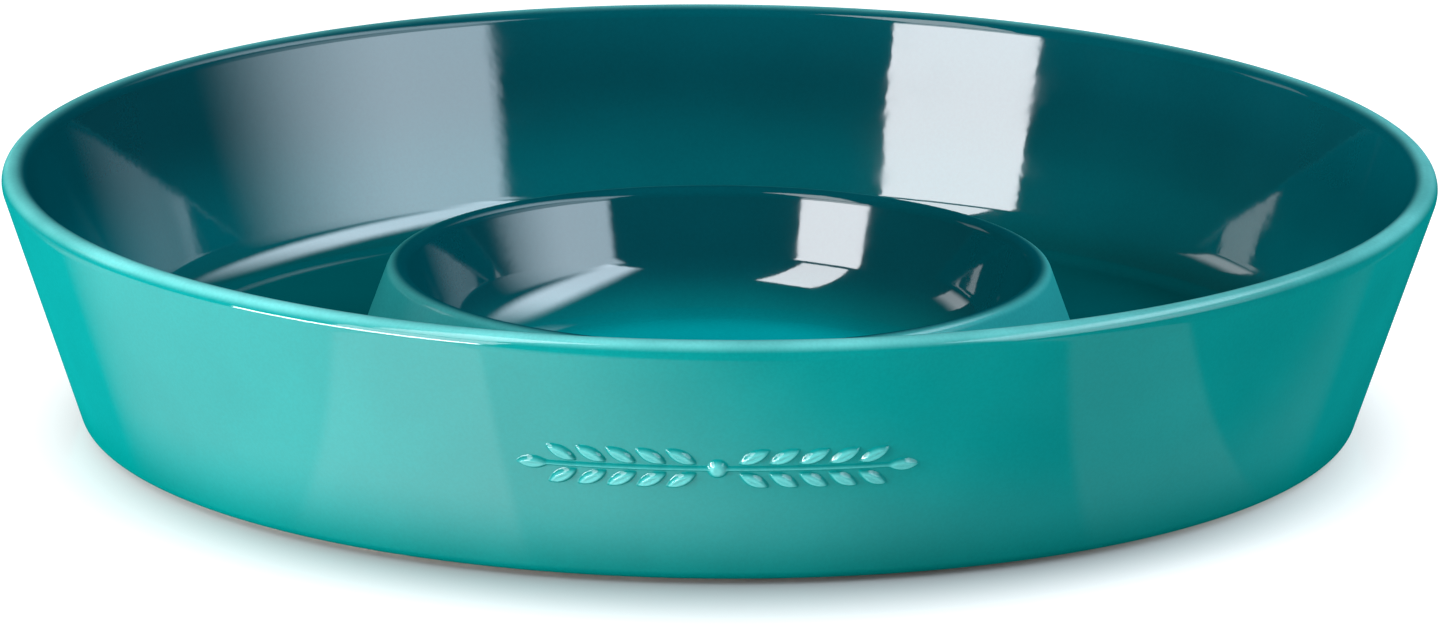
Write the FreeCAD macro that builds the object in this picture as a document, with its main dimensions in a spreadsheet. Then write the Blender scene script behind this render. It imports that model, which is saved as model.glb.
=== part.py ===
import FreeCAD, Part
import math
import os
import re

import Sketcher

# Chip and dip server: a round stoneware dish with a dip bowl moulded into the middle of its floor.
#
# The clay is one fired piece: leaning outer wall, flat floor, a ring-shaped ridge whose inside is the dip
# bowl, and a bare foot ring under the floor. Glaze coats lie on it, each a thin closed shell, and a garland
# of leaves stands out of the front of the wall.
#
# Frame: millimetres, +Z up, origin on the table at the centre of the foot ring. The garland faces -Y.

# ---------------------------------------------------------------- driving dimensions

SIZES = {
    # clay dish; the glaze adds its own thickness outside these sizes
    "rim_radius": 152.0,
    "rim_height": 54.5,
    "rim_round": 2.3,
    "wall_thick": 4.8,
    "wall_lean": 18.5,
    "floor_top": 8.0,
    "floor_cove": 12.0,
    # heel, foot ring and underside
    "heel_height": 1.3,
    "heel_round": 2.4,
    "foot_outer": 130.0,
    "foot_inner": 122.0,
    "foot_draft": 0.6,
    "foot_round": 0.5,
    "recess_height": 2.6,
    "recess_cove": 1.2,
    # ridge around the dip bowl
    "crest_radius": 68.6,
    "crest_height": 32.8,
    "crest_half_flat": 1.4,
    "crest_round": 1.8,
    "flank_lean": 20.0,
    "flank_cove": 7.0,
    "bowl_lean": 18.0,
    "bowl_cove": 16.5,
    # glaze coats
    "glaze": 0.5,
    "rim_band": 1.8,
    "crest_band": 1.5,
    "foot_gap": 0.9,
    # leaf garland on the front of the wall
    "garland_height": 26.8,
    "leaf_half_length": 3.5,
    "leaf_half_width": 1.5,
    "leaf_half_depth": 1.7,
    "leaf_tilt": 28.0,
    "leaf_pitch": 6.1,
    "first_leaf": 7.4,
    "leaf_offset": 2.8,
    "leaf_sink": 0.1,
    "bead_radius": 2.7,
    "stem_round": 1.15,
}
LEAF_PAIRS = 5

doc = FreeCAD.newDocument("chip_and_dip_server")
sheet = doc.addObject("Spreadsheet::Sheet", "Sizes")
for row, (alias, value) in enumerate(SIZES.items(), start=1):
    sheet.set(f"A{row}", alias)
    sheet.set(f"B{row}", str(value))
    sheet.setAlias(f"B{row}", alias)
doc.recompute()


def bind(target, prop, formula):
    """Binds a property to a formula of driving dimensions, each written as its cell of the sheet."""
    in_cells = re.sub(r"[a-z_]+", lambda word: "Sizes." + word[0] if word[0] in SIZES else word[0], formula)
    target.setExpression(prop, in_cells)


# ---------------------------------------------------------------- turned bodies


class Turned:
    """A body turned about Z from a closed outline of straight sides.

    The outline maps the name of each corner to its (radius, height), as formulas of the driving dimensions.
    """

    def __init__(self, label, outline):
        self.names = list(outline)
        self.body = doc.addObject("PartDesign::Body", label)
        self.body.Label = label
        self.sketch = self.body.newObject("Sketcher::SketchObject", label + "_outline")
        upright = next(f for f in self.body.Origin.OriginFeatures if f.Role == "XZ_Plane")
        self.sketch.AttachmentSupport = [(upright, "")]
        self.sketch.MapMode = "FlatFace"
        self.draw(list(outline.values()))
        turn = self.body.newObject("PartDesign::Revolution", label + "_turn")
        turn.Profile = self.sketch
        turn.ReferenceAxis = (self.sketch, ["V_Axis"])
        turn.Angle = 360
        doc.recompute()

    def draw(self, places):
        """Joined sides in a rough ring, which the formulas then pull to their places."""
        count = len(places)
        turns = [2 * math.pi * n / count for n in range(count)]
        rough = [FreeCAD.Vector(100 + 50 * math.cos(t), 100 + 50 * math.sin(t), 0) for t in turns]
        for start, end in zip(rough, rough[1:] + rough[:1]):
            self.sketch.addGeometry(Part.LineSegment(start, end), False)
        for n, (radius, height) in enumerate(places):
            self.sketch.addConstraint(Sketcher.Constraint("Coincident", (n - 1) % count, 2, n, 1))
            self.pin(n, "DistanceX", radius, rough[n].x)
            self.pin(n, "DistanceY", height, rough[n].y)

    def pin(self, corner, kind, formula, rough):
        """Holds one coordinate of a corner to its formula, or to the axis where it is zero."""
        if formula == "0":
            axis = -2 if kind == "DistanceX" else -1
            self.sketch.addConstraint(Sketcher.Constraint("PointOnObject", corner, 1, axis))
            return
        number = self.sketch.addConstraint(Sketcher.Constraint(kind, -1, 1, corner, 1, rough))
        name = kind + str(corner)
        self.sketch.renameConstraint(number, name)
        bind(self.sketch, "Constraints." + name, formula)

    def place(self, name):
        """The (radius, height) of a corner of the outline."""
        corner = self.sketch.Geometry[self.names.index(name)].StartPoint
        return corner.x, corner.y

    def soften(self, radius, *corners):
        """Rounds the ring-shaped edges at those corners with one radius."""
        base = self.body.Tip
        fillet = self.body.newObject("PartDesign::Fillet", "_".join(("rounded",) + corners))
        fillet.Base = (base, [self.edge_at(base.Shape, *self.place(name)) for name in corners])
        bind(fillet, "Radius", radius)
        self.body.Tip = fillet
        doc.recompute()

    def edge_at(self, shape, radius, height):
        """Name of the shape's circular edge about Z at that radius and height."""
        for number, edge in enumerate(shape.Edges, start=1):
            if not isinstance(edge.Curve, Part.Circle):
                continue
            if math.dist((edge.Curve.Radius, edge.Curve.Center.z), (radius, height)) < 0.01:
                return f"Edge{number}"
        raise RuntimeError(f"{self.body.Label} has no edge at radius {radius}, height {height}")


def combine(kind, label, base, tool):
    """A Part boolean of two objects."""
    made = doc.addObject("Part::" + kind, label)
    made.Label = label
    made.Base = base
    made.Tool = tool
    return made


# ---------------------------------------------------------------- clay

# Where the straight outside of the wall would meet the top, before the rim is rounded.
RIM_CORNER = "(rim_radius + rim_round * (tan(wall_lean) + 1 / cos(wall_lean) - 1))"
WALL_ACROSS = "(wall_thick / cos(wall_lean))"
FLANK_FOOT = "(crest_radius + crest_half_flat + (crest_height - floor_top) * tan(flank_lean))"
BOWL_FOOT = "(crest_radius - crest_half_flat - (crest_height - floor_top) * tan(bowl_lean))"


def wall_outside(height):
    """Radius of the wall's outside at a height, as a formula."""
    return f"({RIM_CORNER} - (rim_height - {height}) * tan(wall_lean))"


clay = Turned(
    "stoneware_body",
    {
        "under_centre": ("0", "recess_height"),
        "recess_edge": ("foot_inner - foot_draft", "recess_height"),
        "foot_in": ("foot_inner", "0"),
        "foot_out": ("foot_outer", "0"),
        "foot_root": ("foot_outer + foot_draft", "heel_height"),
        "heel": (wall_outside("heel_height"), "heel_height"),
        "rim_out": (RIM_CORNER, "rim_height"),
        "rim_in": (f"{RIM_CORNER} - {WALL_ACROSS}", "rim_height"),
        "wall_foot": (f"{wall_outside('floor_top')} - {WALL_ACROSS}", "floor_top"),
        "flank_foot": (FLANK_FOOT, "floor_top"),
        "crest_out": ("crest_radius + crest_half_flat", "crest_height"),
        "crest_in": ("crest_radius - crest_half_flat", "crest_height"),
        "bowl_foot": (BOWL_FOOT, "floor_top"),
        "bowl_centre": ("0", "floor_top"),
    },
)
clay.soften("rim_round", "rim_out", "rim_in")
clay.soften("crest_round", "crest_out", "crest_in")
clay.soften("floor_cove", "wall_foot")
clay.soften("bowl_cove", "bowl_foot")
clay.soften("flank_cove", "flank_foot")
clay.soften("heel_round", "heel")
clay.soften("foot_round", "foot_in", "foot_out")
clay.soften("recess_cove", "recess_edge")

# ---------------------------------------------------------------- leaf garland


def on_wall(along, above):
    """Placement on the wall's outside: X runs along the wall, Y up it and Z out of it."""
    heel_radius, heel_height = clay.place("heel")
    rim_radius, rim_height = clay.place("rim_out")
    height = SIZES["garland_height"] + above * math.cos(math.radians(SIZES["wall_lean"]))
    share = (height - heel_height) / (rim_height - heel_height)
    radius = heel_radius + share * (rim_radius - heel_radius)
    around = FreeCAD.Rotation(FreeCAD.Vector(0, 0, 1), math.degrees(along / radius))
    upright = FreeCAD.Rotation(FreeCAD.Vector(1, 0, 0), 90 + SIZES["wall_lean"])
    return FreeCAD.Placement(around.multVec(FreeCAD.Vector(0, -radius, height)), around.multiply(upright))


def lens(name, half_length, half_width, place, tilt):
    """An ellipsoid set into the wall, with its long axis tilted up from the stem."""
    made = doc.addObject("Part::Ellipsoid", name)
    bind(made, "Radius2", half_length)
    bind(made, "Radius3", half_width)
    bind(made, "Radius1", "leaf_half_depth")
    sunk = FreeCAD.Vector(0, 0, -SIZES["leaf_sink"])
    made.Placement = place.multiply(FreeCAD.Placement(sunk, FreeCAD.Rotation(FreeCAD.Vector(0, 0, 1), tilt)))
    return made


def leaf(along, above, tilt):
    """One leaf of the garland."""
    return lens("leaf", "leaf_half_length", "leaf_half_width", on_wall(along, above), tilt)


def stem(reach):
    """The round stem that the leaves spring from, following the wall as far as reach to each side."""
    half_turn = math.degrees(reach / -on_wall(0, 0).Base.y)
    made = doc.addObject("Part::Torus", "stem")
    bind(made, "Radius1", wall_outside("garland_height"))
    bind(made, "Radius2", "stem_round")
    made.Angle3 = 2 * half_turn
    made.Placement = FreeCAD.Placement(
        FreeCAD.Vector(0, 0, SIZES["garland_height"]),
        FreeCAD.Rotation(FreeCAD.Vector(0, 0, 1), -90 - half_turn),
    )
    return made


def garland_pieces():
    """A bead in the middle, and to each side of it pairs of leaves and one leaf at the tip."""
    last_leaf = SIZES["first_leaf"] + LEAF_PAIRS * SIZES["leaf_pitch"]
    pieces = [lens("bead", "bead_radius", "bead_radius", on_wall(0, 0), 0), stem(last_leaf)]
    for side in (-1, 1):
        for pair in range(LEAF_PAIRS):
            along = side * (SIZES["first_leaf"] + pair * SIZES["leaf_pitch"])
            for up in (-1, 1):
                pieces.append(leaf(along, up * SIZES["leaf_offset"], side * up * SIZES["leaf_tilt"]))
        pieces.append(leaf(side * last_leaf, 0, 0))
    return pieces


garland = doc.addObject("Part::MultiFuse", "whole_garland")
garland.Shapes = garland_pieces()
doc.recompute()
relief = combine("Cut", "leaf_garland", garland, clay.body)

# ---------------------------------------------------------------- glaze coats

swollen = doc.addObject("Part::Offset", "glazed_outline")
swollen.Source = clay.body
bind(swollen, "Value", "glaze")
doc.recompute()
coat = combine("Cut", "whole_coat", swollen, clay.body)

# Each zone is a ring whose borders run inside the clay, so that it takes one stretch of the whole coat.
CLEAR_ABOVE = "(rim_height + 20)"
CLEAR_OUTSIDE = "(rim_radius + 20)"
MID_FLOOR = "((floor_top + recess_height) / 2)"
RIM_EDGE = "(rim_height - rim_band)"
CREST_EDGE = "(crest_height - crest_band)"
FLANK_END = f"({FLANK_FOOT} + flank_cove)"
INSIDE_RIM = "(rim_radius - 4 * wall_thick)"
INSIDE_CREST = "(crest_radius - 4 * crest_round)"


def wall_middle(height):
    """Point halfway through the wall at a height, as formulas."""
    return f"{wall_outside(height)} - {WALL_ACROSS} / 2", height


ZONES = {
    "exterior_glaze": {
        "heel_end": ("foot_outer + foot_draft + foot_gap", "0"),
        "outside_low": (CLEAR_OUTSIDE, "0"),
        "outside_high": (CLEAR_OUTSIDE, CLEAR_ABOVE),
        "over_rim": (INSIDE_RIM, CLEAR_ABOVE),
        "rim_edge": (INSIDE_RIM, RIM_EDGE),
        "in_rim": wall_middle(RIM_EDGE),
        "in_wall_foot": wall_middle(MID_FLOOR),
        "over_heel": ("foot_outer + foot_draft + foot_gap", MID_FLOOR),
    },
    "channel_glaze": {
        "flank_end": (FLANK_END, MID_FLOOR),
        "in_wall_foot": wall_middle(MID_FLOOR),
        "in_rim": wall_middle(RIM_EDGE),
        "flank_end_high": (FLANK_END, RIM_EDGE),
    },
    "dip_bowl_rim_glaze": {
        "in_crest": ("crest_radius", CREST_EDGE),
        "under_crest": ("crest_radius", MID_FLOOR),
        "flank_end": (FLANK_END, MID_FLOOR),
        "flank_end_high": (FLANK_END, CLEAR_ABOVE),
        "over_crest": (INSIDE_CREST, CLEAR_ABOVE),
        "crest_edge": (INSIDE_CREST, CREST_EDGE),
    },
    "dip_bowl_inner_glaze": {
        "in_floor": ("0", MID_FLOOR),
        "under_crest": ("crest_radius", MID_FLOOR),
        "in_crest": ("crest_radius", CREST_EDGE),
        "over_bowl": ("0", CREST_EDGE),
    },
    "underside_glaze": {
        "below": ("0", "0"),
        "recess_end": ("foot_inner - 2 * recess_cove", "0"),
        "in_floor_end": ("foot_inner - 2 * recess_cove", MID_FLOOR),
        "in_floor": ("0", MID_FLOOR),
    },
}

nodes = [clay.body, relief]
for label, outline in ZONES.items():
    zone = Turned(label + "_zone", outline)
    if label == "exterior_glaze":
        stretch = combine("Common", "exterior_stretch", coat, zone.body)
        nodes.append(combine("Cut", label, stretch, garland))
    else:
        nodes.append(combine("Common", label, coat, zone.body))
doc.recompute()

# ---------------------------------------------------------------- checks and files

for item in doc.Objects:
    if "Invalid" in item.State or "Error" in item.State:
        raise RuntimeError(f"{item.Label} failed: {item.State}")
for node in nodes:
    if node.Shape.isNull() or not node.Shape.isValid() or not node.Shape.Solids:
        raise RuntimeError(f"{node.Label} has no valid solid")

os.makedirs("parts", exist_ok=True)
for node in nodes:
    node.Shape.exportStep(f"parts/{node.Label}.step")
    box = node.Shape.optimalBoundingBox(False, False)
    print(
        f"{node.Label}: {len(node.Shape.Solids)} solids, {node.Shape.Volume / 1000:.2f} cm3, "
        f"Z {box.ZMin:.2f} to {box.ZMax:.2f}, X {box.XMin:.2f} to {box.XMax:.2f}"
    )
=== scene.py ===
import math

import bpy
import numpy as np
from mathutils import Matrix, Vector


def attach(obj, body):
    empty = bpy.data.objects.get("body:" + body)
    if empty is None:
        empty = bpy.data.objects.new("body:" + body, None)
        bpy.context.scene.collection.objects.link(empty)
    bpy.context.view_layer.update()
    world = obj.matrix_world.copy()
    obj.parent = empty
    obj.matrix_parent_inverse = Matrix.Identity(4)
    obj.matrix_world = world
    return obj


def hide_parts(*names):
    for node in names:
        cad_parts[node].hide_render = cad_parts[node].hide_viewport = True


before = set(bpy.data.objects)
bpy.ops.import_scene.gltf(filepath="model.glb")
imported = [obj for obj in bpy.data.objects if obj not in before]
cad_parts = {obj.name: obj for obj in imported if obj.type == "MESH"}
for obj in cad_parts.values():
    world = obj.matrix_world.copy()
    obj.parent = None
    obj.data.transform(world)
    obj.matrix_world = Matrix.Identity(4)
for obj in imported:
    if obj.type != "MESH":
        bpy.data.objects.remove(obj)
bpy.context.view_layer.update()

# The glazed dish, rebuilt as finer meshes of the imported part's own sizes. Lengths are in millimetres, apart
# from the distances of the camera and the lights, which are in metres.

MM = 0.001

# ---------------------------------------------------------------- sizes

GLAZE = 0.5
AROUND = 480
ARC_STEP = math.radians(5)
LONGEST_SIDE = 5.0
ON_AXIS = 1e-6

RIM_RADIUS, RIM_HEIGHT, RIM_ROUND = 152.0, 54.5, 2.3
WALL_THICK, WALL_LEAN = 4.8, math.radians(18.5)
FLOOR_TOP, FLOOR_COVE = 8.0, 12.0
HEEL_HEIGHT, HEEL_ROUND = 1.3, 2.4
FOOT_OUTER, FOOT_INNER, FOOT_DRAFT, FOOT_ROUND = 130.0, 122.0, 0.6, 0.5
RECESS_HEIGHT, RECESS_COVE = 2.6, 1.2
CREST_RADIUS, CREST_HEIGHT, CREST_HALF_FLAT, CREST_ROUND = 68.6, 32.8, 1.4, 1.8
FLANK_LEAN, FLANK_COVE = math.radians(20), 7.0
BOWL_LEAN, BOWL_COVE = math.radians(18), 16.5
RIM_EDGE, CREST_EDGE = RIM_HEIGHT - 1.8, CREST_HEIGHT - 1.5

RIM_CORNER = RIM_RADIUS + RIM_ROUND * (math.tan(WALL_LEAN) + 1 / math.cos(WALL_LEAN) - 1)
WALL_ACROSS = WALL_THICK / math.cos(WALL_LEAN)
FLANK_FOOT = CREST_RADIUS + CREST_HALF_FLAT + (CREST_HEIGHT - FLOOR_TOP) * math.tan(FLANK_LEAN)


def wall_outside(height):
    """Radius of the clay wall's outside at a height."""
    return RIM_CORNER - (RIM_HEIGHT - height) * math.tan(WALL_LEAN)


def wall_inside(height):
    """Radius of the clay wall's inside at a height."""
    return wall_outside(height) - WALL_ACROSS


def bowl_wall(height):
    """Radius of the dip bowl's clay wall at a height."""
    return CREST_RADIUS - CREST_HALF_FLAT - (CREST_HEIGHT - height) * math.tan(BOWL_LEAN)


# Corners of the clay's outline: radius, height and rounding, from under its centre to the bowl's centre.
CORNERS = {
    "under_centre": (0, RECESS_HEIGHT, 0),
    "recess_end": (FOOT_INNER - 2 * RECESS_COVE, RECESS_HEIGHT, 0),
    "recess_edge": (FOOT_INNER - FOOT_DRAFT, RECESS_HEIGHT, RECESS_COVE),
    "foot_in": (FOOT_INNER, 0, FOOT_ROUND),
    "foot_out": (FOOT_OUTER, 0, FOOT_ROUND),
    "foot_root": (FOOT_OUTER + FOOT_DRAFT, HEEL_HEIGHT, 0),
    "heel_end": (FOOT_OUTER + FOOT_DRAFT + 0.9, HEEL_HEIGHT, 0),
    "heel": (wall_outside(HEEL_HEIGHT), HEEL_HEIGHT, HEEL_ROUND),
    "rim_out": (RIM_CORNER, RIM_HEIGHT, RIM_ROUND),
    "rim_in": (RIM_CORNER - WALL_ACROSS, RIM_HEIGHT, RIM_ROUND),
    "rim_edge": (wall_inside(RIM_EDGE), RIM_EDGE, 0),
    "wall_foot": (wall_inside(FLOOR_TOP), FLOOR_TOP, FLOOR_COVE),
    "flank_end": (FLANK_FOOT + FLANK_COVE, FLOOR_TOP, 0),
    "flank_foot": (FLANK_FOOT, FLOOR_TOP, FLANK_COVE),
    "crest_out": (CREST_RADIUS + CREST_HALF_FLAT, CREST_HEIGHT, CREST_ROUND),
    "crest_in": (CREST_RADIUS - CREST_HALF_FLAT, CREST_HEIGHT, CREST_ROUND),
    "crest_edge": (bowl_wall(CREST_EDGE), CREST_EDGE, 0),
    "bowl_foot": (bowl_wall(FLOOR_TOP), FLOOR_TOP, BOWL_COVE),
    "bowl_centre": (0, FLOOR_TOP, 0),
}

# ---------------------------------------------------------------- outline


class Outline:
    """The clay's outline as short straight spans, each with the true outward normal at both its ends."""

    def __init__(self, corners):
        self.spans = []
        self.reached = {}
        names = list(corners)
        places = {name: Vector(corners[name][:2]) for name in names}
        self.here = places[names[0]]
        self.reached[names[0]] = 0
        for before, name, after in zip(names, names[1:], names[2:]):
            self.turn_at(name, places[before], places[name], places[after], corners[name][2])
        self.side_to(places[names[-1]])
        self.reached[names[-1]] = len(self.spans)

    def side_to(self, end):
        """A straight side from here, in spans that are short enough to shade well."""
        along = end - self.here
        normal = Vector((along.y, -along.x)).normalized()
        start, count = self.here, max(1, math.ceil(along.length / LONGEST_SIDE))
        for n in range(count):
            here, there = (start + along * (step / count) for step in (n, n + 1))
            self.spans.append((here, normal, there, normal))
        self.here = end

    def turn_at(self, name, before, corner, after, rounding):
        """A side up to a corner, and the arc that rounds the corner."""
        first, second = (corner - before).normalized(), (after - corner).normalized()
        turn = math.atan2(first.x * second.y - first.y * second.x, first.dot(second))
        self.side_to(corner - first * rounding * math.tan(abs(turn) / 2))
        self.reached[name] = len(self.spans)
        if not rounding:
            return
        bulge = math.copysign(1, turn)
        normal = Vector((first.y, -first.x))
        centre = self.here - normal * rounding * bulge
        count = max(3, math.ceil(abs(turn) / ARC_STEP))
        normals = [Matrix.Rotation(turn * n / count, 2) @ normal for n in range(count + 1)]
        for start, end in zip(normals, normals[1:]):
            here, there = (centre + n * rounding * bulge for n in (start, end))
            self.spans.append((here, start, there, end))
        self.here = there

    def part(self, start, end):
        """The spans from one named corner to another."""
        return self.spans[self.reached[start]:self.reached[end]]


def lifted(spans, distance):
    """The spans moved outward along their normals."""
    return [(a + m * distance, m, b + n * distance, n) for a, m, b, n in spans]


def turned_over(spans):
    """The same spans run the other way, facing the other way."""
    return [(b, -n, a, -m) for a, m, b, n in reversed(spans)]


def cap(start, end):
    """A flat end between two points of a section, facing outward."""
    along = end - start
    normal = Vector((along.y, -along.x)).normalized()
    return [(start, normal, end, normal)]


def coat_section(spans):
    """The closed section of the glaze coat that lies on those spans."""
    outer, inner = lifted(spans, GLAZE), turned_over(spans)
    section = outer + cap(outer[-1][2], inner[0][0]) + inner
    if outer[0][0].x > 0:
        section += cap(inner[-1][2], outer[0][0])
    return section


# ---------------------------------------------------------------- meshes


def new_piece(name, vertices, faces, corner_normals=None):
    """A smooth piece in metres, from vertices in millimetres."""
    mesh = bpy.data.meshes.new(name)
    mesh.from_pydata((np.asarray(vertices) * MM).tolist(), [], faces)
    mesh.polygons.foreach_set("use_smooth", [True] * len(mesh.polygons))
    if corner_normals is not None:
        mesh.normals_split_custom_set(corner_normals)
    mesh.validate()
    piece = bpy.data.objects.new(name, mesh)
    bpy.context.scene.collection.objects.link(piece)
    return piece


def turn(name, section):
    """A closed piece turned about Z from a section, shaded with the section's own normals."""
    angles = [2 * math.pi * n / AROUND for n in range(AROUND)]
    rings, vertices = [], []
    starts = [span[0] for span in section]
    if section[-1][2].x < ON_AXIS:
        starts.append(section[-1][2])
    for start in starts:
        if start.x < ON_AXIS:
            rings.append([len(vertices)] * AROUND)
            vertices.append((0, 0, start.y))
            continue
        rings.append(range(len(vertices), len(vertices) + AROUND))
        vertices += [(start.x * math.sin(a), -start.x * math.cos(a), start.y) for a in angles]
    faces, normals = [], []
    for n, (start, start_normal, end, end_normal) in enumerate(section):
        if start.x < ON_AXIS and end.x < ON_AXIS:
            continue
        low, high = rings[n], rings[(n + 1) % len(rings)]
        for j in range(AROUND):
            k = (j + 1) % AROUND
            corners = [(low[j], start_normal, j), (low[k], start_normal, k)]
            corners += [(high[k], end_normal, k), (high[j], end_normal, j)]
            if start.x < ON_AXIS:
                corners = corners[1:]
            if end.x < ON_AXIS:
                corners = corners[:3]
            faces.append([vertex for vertex, _, _ in corners])
            normals += [
                (m.x * math.sin(angles[step]), -m.x * math.cos(angles[step]), m.y) for _, m, step in corners
            ]
    return new_piece(name, vertices, faces, normals)


outline = Outline(CORNERS)
COATS = {
    "underside_glaze": ("under_centre", "recess_end"),
    "exterior_glaze": ("heel_end", "rim_edge"),
    "channel_glaze": ("rim_edge", "flank_end"),
    "dip_bowl_rim_glaze": ("flank_end", "crest_edge"),
    "dip_bowl_inner_glaze": ("crest_edge", "bowl_centre"),
}
clay = turn("fired_clay", outline.spans)
coats = {node: turn(node + "_coat", coat_section(outline.part(*ends))) for node, ends in COATS.items()}

# ---------------------------------------------------------------- garland

GARLAND_HEIGHT = 26.8
LEAF_PAIRS, FIRST_LEAF, LEAF_PITCH, LEAF_OFFSET = 5, 7.4, 6.1, 2.8
LEAF_LONG, LEAF_WIDE, LEAF_TILT = 3.6, 1.45, math.radians(28)
LEAF_RISE, STEM_RISE, BEAD_RISE = 1.1, 0.75, 1.25
STEM_HALF, BEAD_ROUND = 0.5, 2.3
VEIN_DEEP, VEIN_WIDE, VEIN_FADE = 0.3, 0.28, (0.4, 1.4)
# Each shape starts to rise just outside its outline, and is at its full height this far inside it.
SKIRT = -0.15
LEAF_SLOPE, STEM_SLOPE, BEAD_SLOPE = 0.8, 0.45, 1.5
# The relief is worked out on a grid of this pitch, to this height above and below the stem, and softened over
# a few cells. Its edge lies just under the glaze, and its back deeper.
CELL = 0.16
GRID_HALF, GRID_MARGIN = 6.5, 1
SOFT_CELLS, SOFT_SPREAD = 3, 1.2
SUNK = 0.06
ROOT = 0.35
LOWEST_SHOWN = 0.004


def ramp(distance, low, high):
    """0 below low, 1 above high, smooth between."""
    share = np.clip((distance - low) / (high - low), 0, 1)
    return share * share * (3 - 2 * share)


def leaf_rise(u, v, along, above, tilt):
    """Height of one pointed leaf with a sunk vein, over a grid on the wall."""
    p = (u - along) * math.cos(tilt) + (v - above) * math.sin(tilt)
    q = (v - above) * math.cos(tilt) - (u - along) * math.sin(tilt)
    inside = LEAF_WIDE * (1 - (p / LEAF_LONG) ** 2) - np.abs(q)
    vein = VEIN_DEEP * np.exp(-(q / VEIN_WIDE) ** 2) * ramp(LEAF_LONG - np.abs(p), *VEIN_FADE)
    return (LEAF_RISE - vein) * ramp(inside, SKIRT, LEAF_SLOPE)


def garland_rise():
    """Grid coordinates on the wall, and the garland's height over them."""
    last = FIRST_LEAF + LEAF_PAIRS * LEAF_PITCH
    across = np.arange(-last - LEAF_LONG - GRID_MARGIN, last + LEAF_LONG + GRID_MARGIN, CELL)
    upward = np.arange(-GRID_HALF, GRID_HALF, CELL)
    u, v = np.meshgrid(across, upward, indexing="ij")
    rise = BEAD_RISE * ramp(BEAD_ROUND - np.hypot(u, v), SKIRT, BEAD_SLOPE)
    stem = STEM_RISE * ramp(STEM_HALF - np.abs(v), SKIRT, STEM_SLOPE) * (np.abs(u) < last)
    rise = np.maximum(rise, stem)
    for side in (-1, 1):
        for pair in range(LEAF_PAIRS):
            for up in (-1, 1):
                place = (side * (FIRST_LEAF + pair * LEAF_PITCH), up * LEAF_OFFSET, side * up * LEAF_TILT)
                rise = np.maximum(rise, leaf_rise(u, v, *place))
        rise = np.maximum(rise, leaf_rise(u, v, side * last, 0, 0))
    return u, v, soften(rise)


def soften(rise):
    """The height as the glaze rounds it: spread a little to each side."""
    shifts = range(-SOFT_CELLS, SOFT_CELLS + 1)
    weights = np.exp(-0.5 * (np.array(shifts) / SOFT_SPREAD) ** 2)
    weights /= weights.sum()
    for axis in (0, 1):
        rise = sum(w * np.roll(rise, n, axis) for w, n in zip(weights, shifts))
    return rise


def on_wall(u, v, rise):
    """Points on the glazed wall, u around it and v up its slope, lifted off it by rise."""
    middle = wall_outside(GARLAND_HEIGHT) + GLAZE / math.cos(WALL_LEAN)
    radius = middle + v * math.sin(WALL_LEAN) + rise * math.cos(WALL_LEAN)
    height = GARLAND_HEIGHT + v * math.cos(WALL_LEAN) - rise * math.sin(WALL_LEAN)
    angle = u / middle
    return np.stack([radius * np.sin(angle), -radius * np.cos(angle), height], -1)


def make_garland():
    """The garland as a closed piece, its edge just under the glazed wall so that it grows out of it."""
    u, v, rise = garland_rise()
    near = rise > LOWEST_SHOWN
    cells = near[:-1, :-1] | near[1:, :-1] | near[:-1, 1:] | near[1:, 1:]
    cells[:-1] |= cells[1:]
    cells[1:] |= cells[:-1]
    front = on_wall(u, v, rise - SUNK)
    back = on_wall(u, v, np.full_like(rise, -ROOT))
    index = np.full(u.shape, -1)
    used = np.zeros(u.shape, bool)
    for du, dv in ((0, 0), (1, 0), (0, 1), (1, 1)):
        used[du:u.shape[0] - 1 + du, dv:u.shape[1] - 1 + dv] |= cells
    index[used] = np.arange(used.sum())
    count = int(used.sum())
    faces = []
    for i, j in np.argwhere(cells):
        ring = [index[i, j], index[i + 1, j], index[i + 1, j + 1], index[i, j + 1]]
        faces.append([int(n) for n in ring])
        faces.append([int(n) + count for n in reversed(ring)])
        neighbours = ((i, j - 1), (i + 1, j), (i, j + 1), (i - 1, j))
        for side, (a, b) in enumerate(neighbours):
            inside = 0 <= a < cells.shape[0] and 0 <= b < cells.shape[1] and cells[a, b]
            if not inside:
                start, end = int(ring[side]), int(ring[(side + 1) % 4])
                faces.append([start, start + count, end + count, end])
    return new_piece("leaf_garland_relief", np.concatenate([front[used], back[used]]), faces)


garland = make_garland()

# ---------------------------------------------------------------- materials


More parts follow.
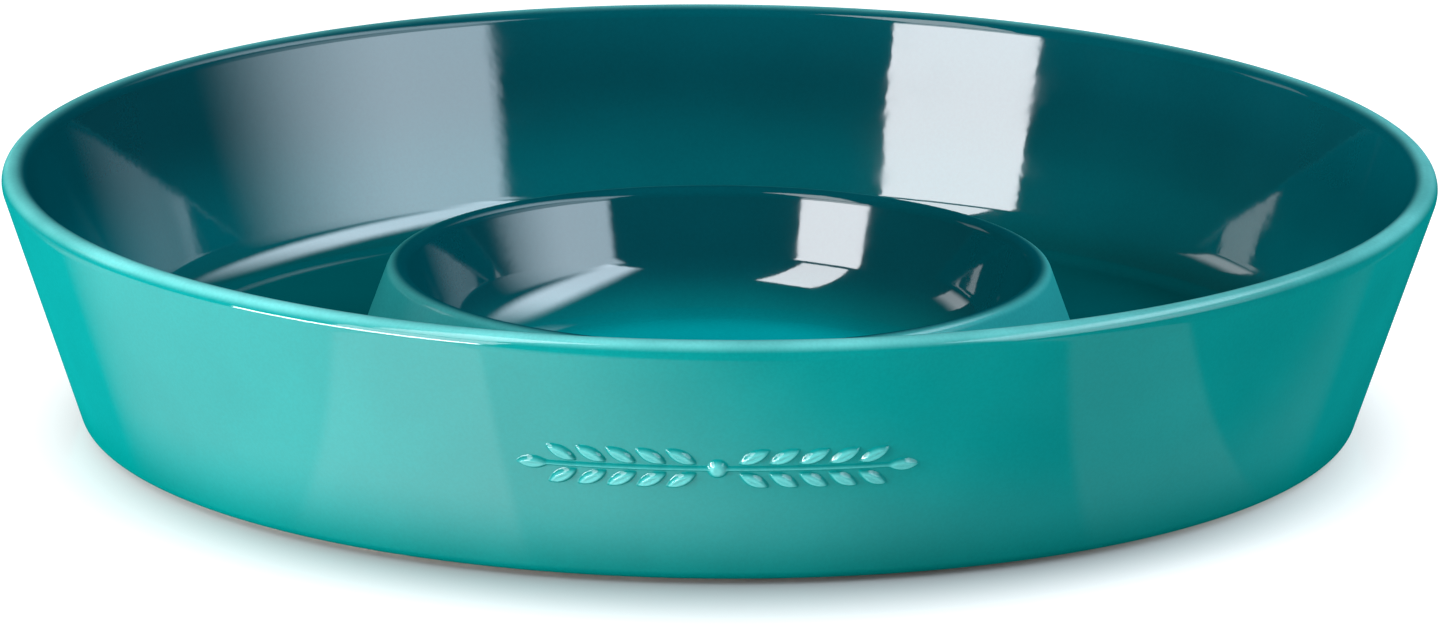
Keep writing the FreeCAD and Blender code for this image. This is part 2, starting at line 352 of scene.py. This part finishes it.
class Look:
    """A node material with a Principled surface, and short ways to add nodes to it."""

    def __init__(self, name, roughness, ior=1.5):
        self.material = bpy.data.materials.new(name)
        self.material.use_nodes = True
        self.tree = self.material.node_tree
        self.surface = self.tree.nodes["Principled BSDF"]
        self.surface.inputs["Roughness"].default_value = roughness
        self.surface.inputs["IOR"].default_value = ior
        self.place = self.add("TexCoord").outputs["Object"]

    def add(self, kind, inputs=(), **settings):
        """A node of that kind, with its settings made and its inputs linked or set."""
        node = self.tree.nodes.new("ShaderNode" + kind)
        for name, value in settings.items():
            setattr(node, name, value)
        for socket, value in dict(inputs).items():
            if isinstance(value, bpy.types.NodeSocket):
                self.tree.links.new(value, node.inputs[socket])
            else:
                node.inputs[socket].default_value = value
        return node

    def maths(self, operation, first, second=0.0):
        """The result of one sum, difference, product or maximum."""
        return self.add("Math", {0: first, 1: second}, operation=operation).outputs[0]

    def ramp(self, value, low, high, start=0.0, end=1.0):
        """Start up to low, end from high, smooth between."""
        limits = {"Value": value, "From Min": low, "From Max": high, "To Min": start, "To Max": end}
        return self.add("MapRange", limits, interpolation_type="SMOOTHSTEP").outputs["Result"]

    def change(self, distance, limits, start=0.0, end=1.0):
        """The same over a distance, with its two limits in millimetres."""
        return self.ramp(distance, limits[0] * MM, limits[1] * MM, start, end)

    def mix(self, share, first, second):
        """First where the share is 0 and second where it is 1."""
        node = self.add("Mix", {"Factor": share}, data_type="RGBA")
        for socket, colour in ((node.inputs[6], first), (node.inputs[7], second)):
            if isinstance(colour, bpy.types.NodeSocket):
                self.tree.links.new(colour, socket)
            else:
                socket.default_value = (*colour, 1)
        return node.outputs[2]

    def noise(self, size, detail=2.0):
        """Cloudy noise whose patches are about that many millimetres across."""
        inputs = {"Vector": self.place, "Scale": 1 / (size * MM), "Detail": detail}
        return self.add("TexNoise", inputs).outputs[0]

    def bump(self, height, distance, under=None):
        """A normal bent by a height map, that many millimetres tall, over another bump if one is given."""
        inputs = {"Height": height, "Distance": distance * MM}
        if under:
            inputs["Normal"] = under
        return self.add("Bump", inputs).outputs[0]

    def wear(self, socket, value):
        """Drives one of the surface's sockets with a node's output."""
        self.tree.links.new(value, self.surface.inputs[socket])


OPEN_TURQUOISE = (0.002, 0.214, 0.200)
# Pale where the glaze runs thin, and partly a painted highlight on the rim and crest tops.
THIN_AND_HIGHLIGHT_TURQUOISE = (0.19, 0.66, 0.63)
# Painted shade: the outer wall near its foot.
FOOT_SHADE_TURQUOISE = (0.0, 0.190, 0.172)
# Painted light: the ridge's flank.
LIT_RIDGE_TURQUOISE = (0.030, 0.400, 0.395)
# The inside: the glaze painted dark teal as painted shade, and lighter below as painted light.
SHADED_WALL_TEAL = (0.0, 0.078, 0.094)
LIT_LOW_WALL_TEAL = (0.0, 0.150, 0.170)
LIT_CHANNEL_TEAL = (0.0, 0.112, 0.120)
LIT_BOWL_TEAL = (0.0, 0.370, 0.385)

# Where the glaze's colour changes, painted light and shade among them: each pair holds where a change begins
# and where it is complete.
# Across the outer wall, from its middle and from its glazed outside.
OUTSIDE_ACROSS, RELIEF_ACROSS = (-2.8, -0.6), (0.15, 1.0)
# Radii.
RIDGE_INNER, RIDGE_OUTER = (CREST_RADIUS - 0.4, CREST_RADIUS + 2.2), (105, 95)
CREST_OUTER, CHANNEL_OUTER, BOWL_INNER = (95, 85), (80, 110), (64, 36)
# Heights.
RIM_TOP, CREST_TOP = (RIM_HEIGHT - 1.6, RIM_HEIGHT + 0.2), (CREST_HEIGHT - 1.4, CREST_HEIGHT + 0.3)
# Painted shade below these heights: the ridge's flank fades into the dark inside, and the outer wall turns
# darker towards its foot.
RIDGE_LOW, FOOT_SHADE_LOW = (FLOOR_TOP - 1, FLOOR_TOP + 11), (1, 13)
# Painted light below these heights: the inner wall's lower part and the channel floor turn lighter.
WALL_LOW, CHANNEL_LOW = (42, 17), (17, 9.5)
# How thin the glaze runs there, next to the rim's 1. On the rim and crest tops the pale colour is partly a
# painted highlight.
RELIEF_THIN, CREST_THIN_AND_HIGHLIGHT = 0.55, 0.4


def glaze(name, ior):
    """The glossy glaze, one colour in lit and shaded copies: turquoise outside with painted shade towards its
    foot, a painted lighter ridge, painted dark teal inside with painted lighter floors, and paler where it
    runs thin, partly a painted highlight on the rim and crest tops.
    """
    look = Look(name, 0.05, ior)
    apart = look.add("SeparateXYZ", {0: look.place})
    height = apart.outputs["Z"]
    flat = look.add("CombineXYZ", {"X": apart.outputs["X"], "Y": apart.outputs["Y"]}).outputs[0]
    radius = look.add("VectorMath", {0: flat}, operation="LENGTH").outputs["Value"]

    lean = look.maths("MULTIPLY", height, math.tan(WALL_LEAN))
    middle = (wall_outside(0) + wall_inside(0)) / 2 * MM
    across = look.maths("SUBTRACT", look.maths("SUBTRACT", radius, lean), middle)
    outside = look.change(across, OUTSIDE_ACROSS)
    # Painted light on the ridge's flank, fading out towards its foot as painted shade.
    ridge = look.change(radius, RIDGE_INNER)
    ridge = look.maths("MULTIPLY", ridge, look.change(radius, RIDGE_OUTER))
    ridge = look.maths("MULTIPLY", ridge, look.change(height, RIDGE_LOW))
    light = look.maths("MAXIMUM", outside, ridge)

    # Pale rim and crest tops: thin glaze, and partly a painted highlight.
    crown = look.change(height, RIM_TOP)
    crest = look.change(height, CREST_TOP)
    crest = look.maths("MULTIPLY", crest, look.change(radius, CREST_OUTER, 0.0, CREST_THIN_AND_HIGHLIGHT))
    surface = WALL_ACROSS / 2 + GLAZE / math.cos(WALL_LEAN)
    raised = look.change(across, [surface + rise for rise in RELIEF_ACROSS], 0.0, RELIEF_THIN)
    thin_and_highlight = look.maths("MAXIMUM", look.maths("MAXIMUM", crown, crest), raised)
    cloud = look.noise(38, 3)
    thin_and_highlight = look.maths("MULTIPLY", thin_and_highlight, look.ramp(cloud, 0.3, 0.7, 0.55, 0.85))

    # Painted shade: the outer wall turns darker towards its foot.
    turquoise = look.mix(look.change(height, FOOT_SHADE_LOW), FOOT_SHADE_TURQUOISE, OPEN_TURQUOISE)
    # Painted light: the ridge's flank is the same glaze made lighter.
    turquoise = look.mix(ridge, turquoise, LIT_RIDGE_TURQUOISE)
    turquoise = look.mix(thin_and_highlight, turquoise, THIN_AND_HIGHLIGHT_TURQUOISE)
    # Painted shade and light inside: dark teal, made lighter towards the outer wall's foot, on the channel
    # floor and most of all in the dip bowl.
    low = look.maths("MULTIPLY", look.change(height, WALL_LOW), look.change(radius, CHANNEL_OUTER))
    teal = look.mix(low, SHADED_WALL_TEAL, LIT_LOW_WALL_TEAL)
    teal = look.mix(look.change(height, CHANNEL_LOW), teal, LIT_CHANNEL_TEAL)
    teal = look.mix(look.change(radius, BOWL_INNER), teal, LIT_BOWL_TEAL)
    # Painted shade: all but the outside and the ridge takes the dark teal.
    colour = look.mix(light, teal, turquoise)
    shade = look.ramp(cloud, 0.25, 0.75, 0.93, 1.07)
    grain = look.ramp(look.noise(0.7, 2), 0.3, 0.7, 0.965, 1.035)
    shade = look.maths("MULTIPLY", shade, grain)
    colour = look.add("VectorMath", {0: colour, "Scale": shade}, operation="SCALE").outputs[0]
    look.wear("Base Color", colour)
    look.wear("Roughness", look.ramp(look.noise(9, 3), 0.3, 0.7, 0.035, 0.075))
    waves = look.bump(look.noise(34, 1), 0.10)
    look.wear("Normal", look.bump(look.noise(2.6, 1), 0.008, waves))
    return look


turquoise = glaze("turquoise_glaze", 1.5)
facing = turquoise.add("LayerWeight", {"Blend": 0.5}).outputs["Facing"]
turquoise.wear("Specular IOR Level", turquoise.ramp(facing, 0.15, 0.72, 0.5, 0.0))
teal = glaze("teal_glaze", 2.0)
facing = teal.add("LayerWeight", {"Blend": 0.5}).outputs["Facing"]
teal.wear("Specular IOR Level", teal.ramp(facing, 0.45, 0.73, 0.5, 0.0))


def stoneware():
    """Bare fired clay: pale, dry and grainy, with small iron specks."""
    look = Look("bare_stoneware", 0.85)
    colour = look.mix(look.ramp(look.noise(11, 4), 0.35, 0.65), (0.56, 0.47, 0.36), (0.68, 0.60, 0.49))
    colour = look.mix(look.ramp(look.noise(0.6, 3), 0.4, 0.7, 0.0, 0.5), colour, (0.48, 0.38, 0.28))
    colour = look.mix(look.ramp(look.noise(1.7, 1), 0.70, 0.76), colour, (0.22, 0.13, 0.08))
    look.wear("Base Color", colour)
    look.wear("Roughness", look.ramp(look.noise(1.2, 3), 0.3, 0.7, 0.75, 0.95))
    rough = look.bump(look.noise(5, 3), 0.12)
    look.wear("Normal", look.bump(look.noise(0.5, 3), 0.06, rough))
    return look


bare = stoneware()

# ---------------------------------------------------------------- table of pieces

clay.data.materials.append(bare.material)
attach(clay, "root")
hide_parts("stoneware_body")
FINISH = {
    "underside_glaze": (teal, "teal_glaze"),
    "exterior_glaze": (turquoise, "turquoise_glaze"),
    "channel_glaze": (teal, "teal_glaze"),
    "dip_bowl_rim_glaze": (turquoise, "turquoise_glaze"),
    "dip_bowl_inner_glaze": (teal, "teal_glaze"),
}
for node, coat in coats.items():
    coat.data.materials.append(FINISH[node][0].material)
    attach(coat, "root")
    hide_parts(node)
garland.data.materials.append(turquoise.material)
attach(garland, "root")
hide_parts("leaf_garland")

# ---------------------------------------------------------------- floor and camera


def flat_square(name, half_side, height, look):
    """A level square that belongs to the studio and not to the dish."""
    mesh = bpy.data.meshes.new(name)
    signs = ((-1, -1), (1, -1), (1, 1), (-1, 1))
    mesh.from_pydata([(x * half_side * MM, y * half_side * MM, 0) for x, y in signs], [], [(0, 1, 2, 3)])
    mesh.materials.append(look.material)
    square = bpy.data.objects.new(name, mesh)
    square.location.z = height * MM
    bpy.context.scene.collection.objects.link(square)
    return square


# The floor glows white except round the foot, where a soft shadow of the dish is painted by leaving out the
# glow. The painted shadow's oval is squeezed along X, its middle lies a little forward, and the glow grows
# over its edge.
SHADE_SQUEEZE, SHADE_FORWARD, SHADE_EDGE = 1.1, 10.0, (119.0, 176.0)
FLOOR_GLOW = 0.95
FLOOR_HALF, FLOOR_HEIGHT = 8000, -0.2

paper = Look("white_floor", 0.18)
paper.surface.inputs["Base Color"].default_value = (0.55, 0.55, 0.55, 1)
paper.surface.inputs["Specular IOR Level"].default_value = 0.2
paper.surface.inputs["Emission Color"].default_value = (1.0, 0.99, 0.985, 1)
oval = paper.add("VectorMath", {0: paper.place, 1: (SHADE_SQUEEZE, 1, 1)}, operation="MULTIPLY").outputs[0]
shade_middle = (0, -SHADE_FORWARD * MM, 0)
from_foot = paper.add("VectorMath", {0: oval, 1: shade_middle}, operation="DISTANCE").outputs["Value"]
# Painted shadow: the glow fades out towards the foot.
paper.wear("Emission Strength", paper.change(from_foot, SHADE_EDGE, 0.0, FLOOR_GLOW))
studio_floor = flat_square("studio_floor", FLOOR_HALF, FLOOR_HEIGHT, paper)
studio_floor.visible_glossy = False

# What the glossy wall mirrors from low round it, in place of the floor: a wide glow at the left with a
# brighter band, and a small one at the right. Their limits are values of X - Y for the wide glow and its
# band, and of -X - Y for the small one. CARD_BACK is along Y, and CARD_NEAR is from the middle.
WIDE_GLOW, WIDE_BACK_GLOW, WIDE_EDGE = 2.0, 0.3, (95.0, 232.0)
BAND_GLOW, BAND_LEFT, BAND_RIGHT = 0.9, (8.0, 16.0), (96.0, 90.0)
SMALL_GLOW, SMALL_RIGHT, SMALL_LEFT = 0.35, (-50.0, -42.0), (36.0, 28.0)
CARD_BACK, CARD_NEAR = (50.0, 130.0), (135.0, 158.0)
CARD_HALF, CARD_HEIGHT = 800, -1

card = Look("white_card", 1.0)
card.surface.inputs["Base Color"].default_value = (0, 0, 0, 1)
card.surface.inputs["Specular IOR Level"].default_value = 0.0
card.surface.inputs["Emission Color"].default_value = (0.97, 0.99, 1.0, 1)
to_right = card.add("VectorMath", {0: card.place, 1: (1, -1, 0)}, operation="DOT_PRODUCT").outputs["Value"]
to_left = card.add("VectorMath", {0: card.place, 1: (-1, -1, 0)}, operation="DOT_PRODUCT").outputs["Value"]
from_middle = card.add("VectorMath", {0: card.place}, operation="LENGTH").outputs["Value"]
to_back = card.add("SeparateXYZ", {0: card.place}).outputs["Y"]
wide = card.change(to_right, WIDE_EDGE, WIDE_GLOW, 0.0)
wide = card.maths("MULTIPLY", wide, card.change(to_back, CARD_BACK, 1.0, WIDE_BACK_GLOW))
band = card.change(to_right, BAND_RIGHT, 0.0, BAND_GLOW)
band = card.maths("MULTIPLY", card.change(to_right, BAND_LEFT), band)
small = card.change(to_left, SMALL_LEFT, 0.0, SMALL_GLOW)
small = card.maths("MULTIPLY", card.change(to_left, SMALL_RIGHT), small)
shine = card.maths("ADD", card.maths("ADD", wide, band), small)
card.wear("Emission Strength", card.maths("MULTIPLY", shine, card.change(from_middle, CARD_NEAR)))
card.material.cycles.emission_sampling = "NONE"
white_card = flat_square("white_card", CARD_HALF, CARD_HEIGHT, card)
white_card.visible_camera = False
white_card.visible_diffuse = False
white_card.visible_shadow = False

CAMERA_DISTANCE = 2.745
CAMERA_ELEVATION, CAMERA_ROLL = 14.88, 0.39
CAMERA_AIM = Vector((0.0008, 0, 0.0208))
CAMERA_LENS, CAMERA_SENSOR = 320.1, 36


def on_dome(azimuth, elevation, distance):
    """A place round the dish: azimuth from -Y towards +X and elevation above the floor, in degrees."""
    turned, raised = math.radians(azimuth), math.radians(elevation)
    flat = distance * math.cos(raised)
    return Vector((flat * math.sin(turned), -flat * math.cos(turned), distance * math.sin(raised)))


camera = bpy.data.objects.new("camera", bpy.data.cameras.new("camera"))
bpy.context.scene.collection.objects.link(camera)
camera.data.sensor_width = CAMERA_SENSOR
camera.data.lens = CAMERA_LENS
camera.location = on_dome(0, CAMERA_ELEVATION, CAMERA_DISTANCE)
aimed = (CAMERA_AIM - camera.location).to_track_quat("-Z", "Y").to_matrix().to_4x4()
camera.rotation_euler = (aimed @ Matrix.Rotation(math.radians(CAMERA_ROLL), 4, "Z")).to_euler()
bpy.context.scene.camera = camera

# ---------------------------------------------------------------- lights

LIGHT_DISTANCE = 1.5


def softbox(name, azimuths, elevations, radiance, colour, fade=None):
    """A soft rectangular light that faces the dish and fills those angles as the dish sees them.

    Fade gives the shares of its width and height over which its light fades in from each edge: right, left,
    bottom and top, as the dish sees them.
    """
    azimuth, elevation = sum(azimuths) / 2, sum(elevations) / 2
    half_wide = math.tan(math.radians(azimuths[1] - azimuths[0]) / 2) * math.cos(math.radians(elevation))
    half_tall = math.tan(math.radians(elevations[1] - elevations[0]) / 2)
    data = bpy.data.lights.new(name, "AREA")
    data.shape = "RECTANGLE"
    data.size, data.size_y = 2 * LIGHT_DISTANCE * half_wide, 2 * LIGHT_DISTANCE * half_tall
    data.energy = radiance * math.pi * data.size * data.size_y
    data.color = colour
    lamp = bpy.data.objects.new(name, data)
    lamp.location = on_dome(azimuth, elevation, LIGHT_DISTANCE)
    lamp.rotation_euler = (-lamp.location).to_track_quat("-Z", "Y").to_euler()
    bpy.context.scene.collection.objects.link(lamp)
    if fade:
        grade(data, fade)


def grade(data, fade):
    """Makes a light fade in softly from each of its edges."""
    data.use_nodes = True
    tree = data.node_tree
    spot = tree.nodes.new("ShaderNodeNewGeometry")
    apart = tree.nodes.new("ShaderNodeSeparateXYZ")
    tree.links.new(spot.outputs["Parametric"], apart.inputs[0])
    strength = None
    for axis, start, share in (("X", 0, fade[0]), ("X", 1, -fade[1]), ("Y", 0, fade[2]), ("Y", 1, -fade[3])):
        edge = tree.nodes.new("ShaderNodeMapRange")
        edge.interpolation_type = "SMOOTHSTEP"
        edge.inputs["From Min"].default_value = start
        edge.inputs["From Max"].default_value = start + share
        tree.links.new(apart.outputs[axis], edge.inputs["Value"])
        if strength:
            product = tree.nodes.new("ShaderNodeMath")
            product.operation = "MULTIPLY"
            tree.links.new(strength, product.inputs[0])
            tree.links.new(edge.outputs["Result"], product.inputs[1])
            strength = product.outputs[0]
        else:
            strength = edge.outputs["Result"]
    tree.links.new(strength, tree.nodes["Emission"].inputs["Strength"])


WINDOW_LIGHT = (0.95, 0.96, 1.0)
SILK_LIGHT = (0.74, 0.88, 1.0)
softbox("window_low", (-60, -33), (8, 27.5), 6.5, WINDOW_LIGHT)
softbox("window_high", (-61, -33), (30.5, 66), 6, WINDOW_LIGHT)
softbox("side_fill", (-78, -36), (0.5, 7), 38, WINDOW_LIGHT)
softbox("silk_high", (42, 150), (36, 62), 5.2, SILK_LIGHT, fade=(0.04, 0.5, 0.35, 0.35))
softbox("silk_low", (42, 108), (12, 38), 3.4, SILK_LIGHT, fade=(0.06, 0.7, 0.1, 0.25))
softbox("strip_left", (-124, -108), (13, 32), 1.6, WINDOW_LIGHT, fade=(0.05, 0.05, 0.3, 0.5))

BACKDROP_LIGHT, BACKDROP_GLOW = (0.8, 0.9, 1, 1), 0.01
world = bpy.data.worlds.new("studio")
bpy.context.scene.world = world
world.use_nodes = True
world.node_tree.nodes["Background"].inputs["Color"].default_value = BACKDROP_LIGHT
world.node_tree.nodes["Background"].inputs["Strength"].default_value = BACKDROP_GLOW
bpy.context.scene.view_settings.view_transform = "Standard"
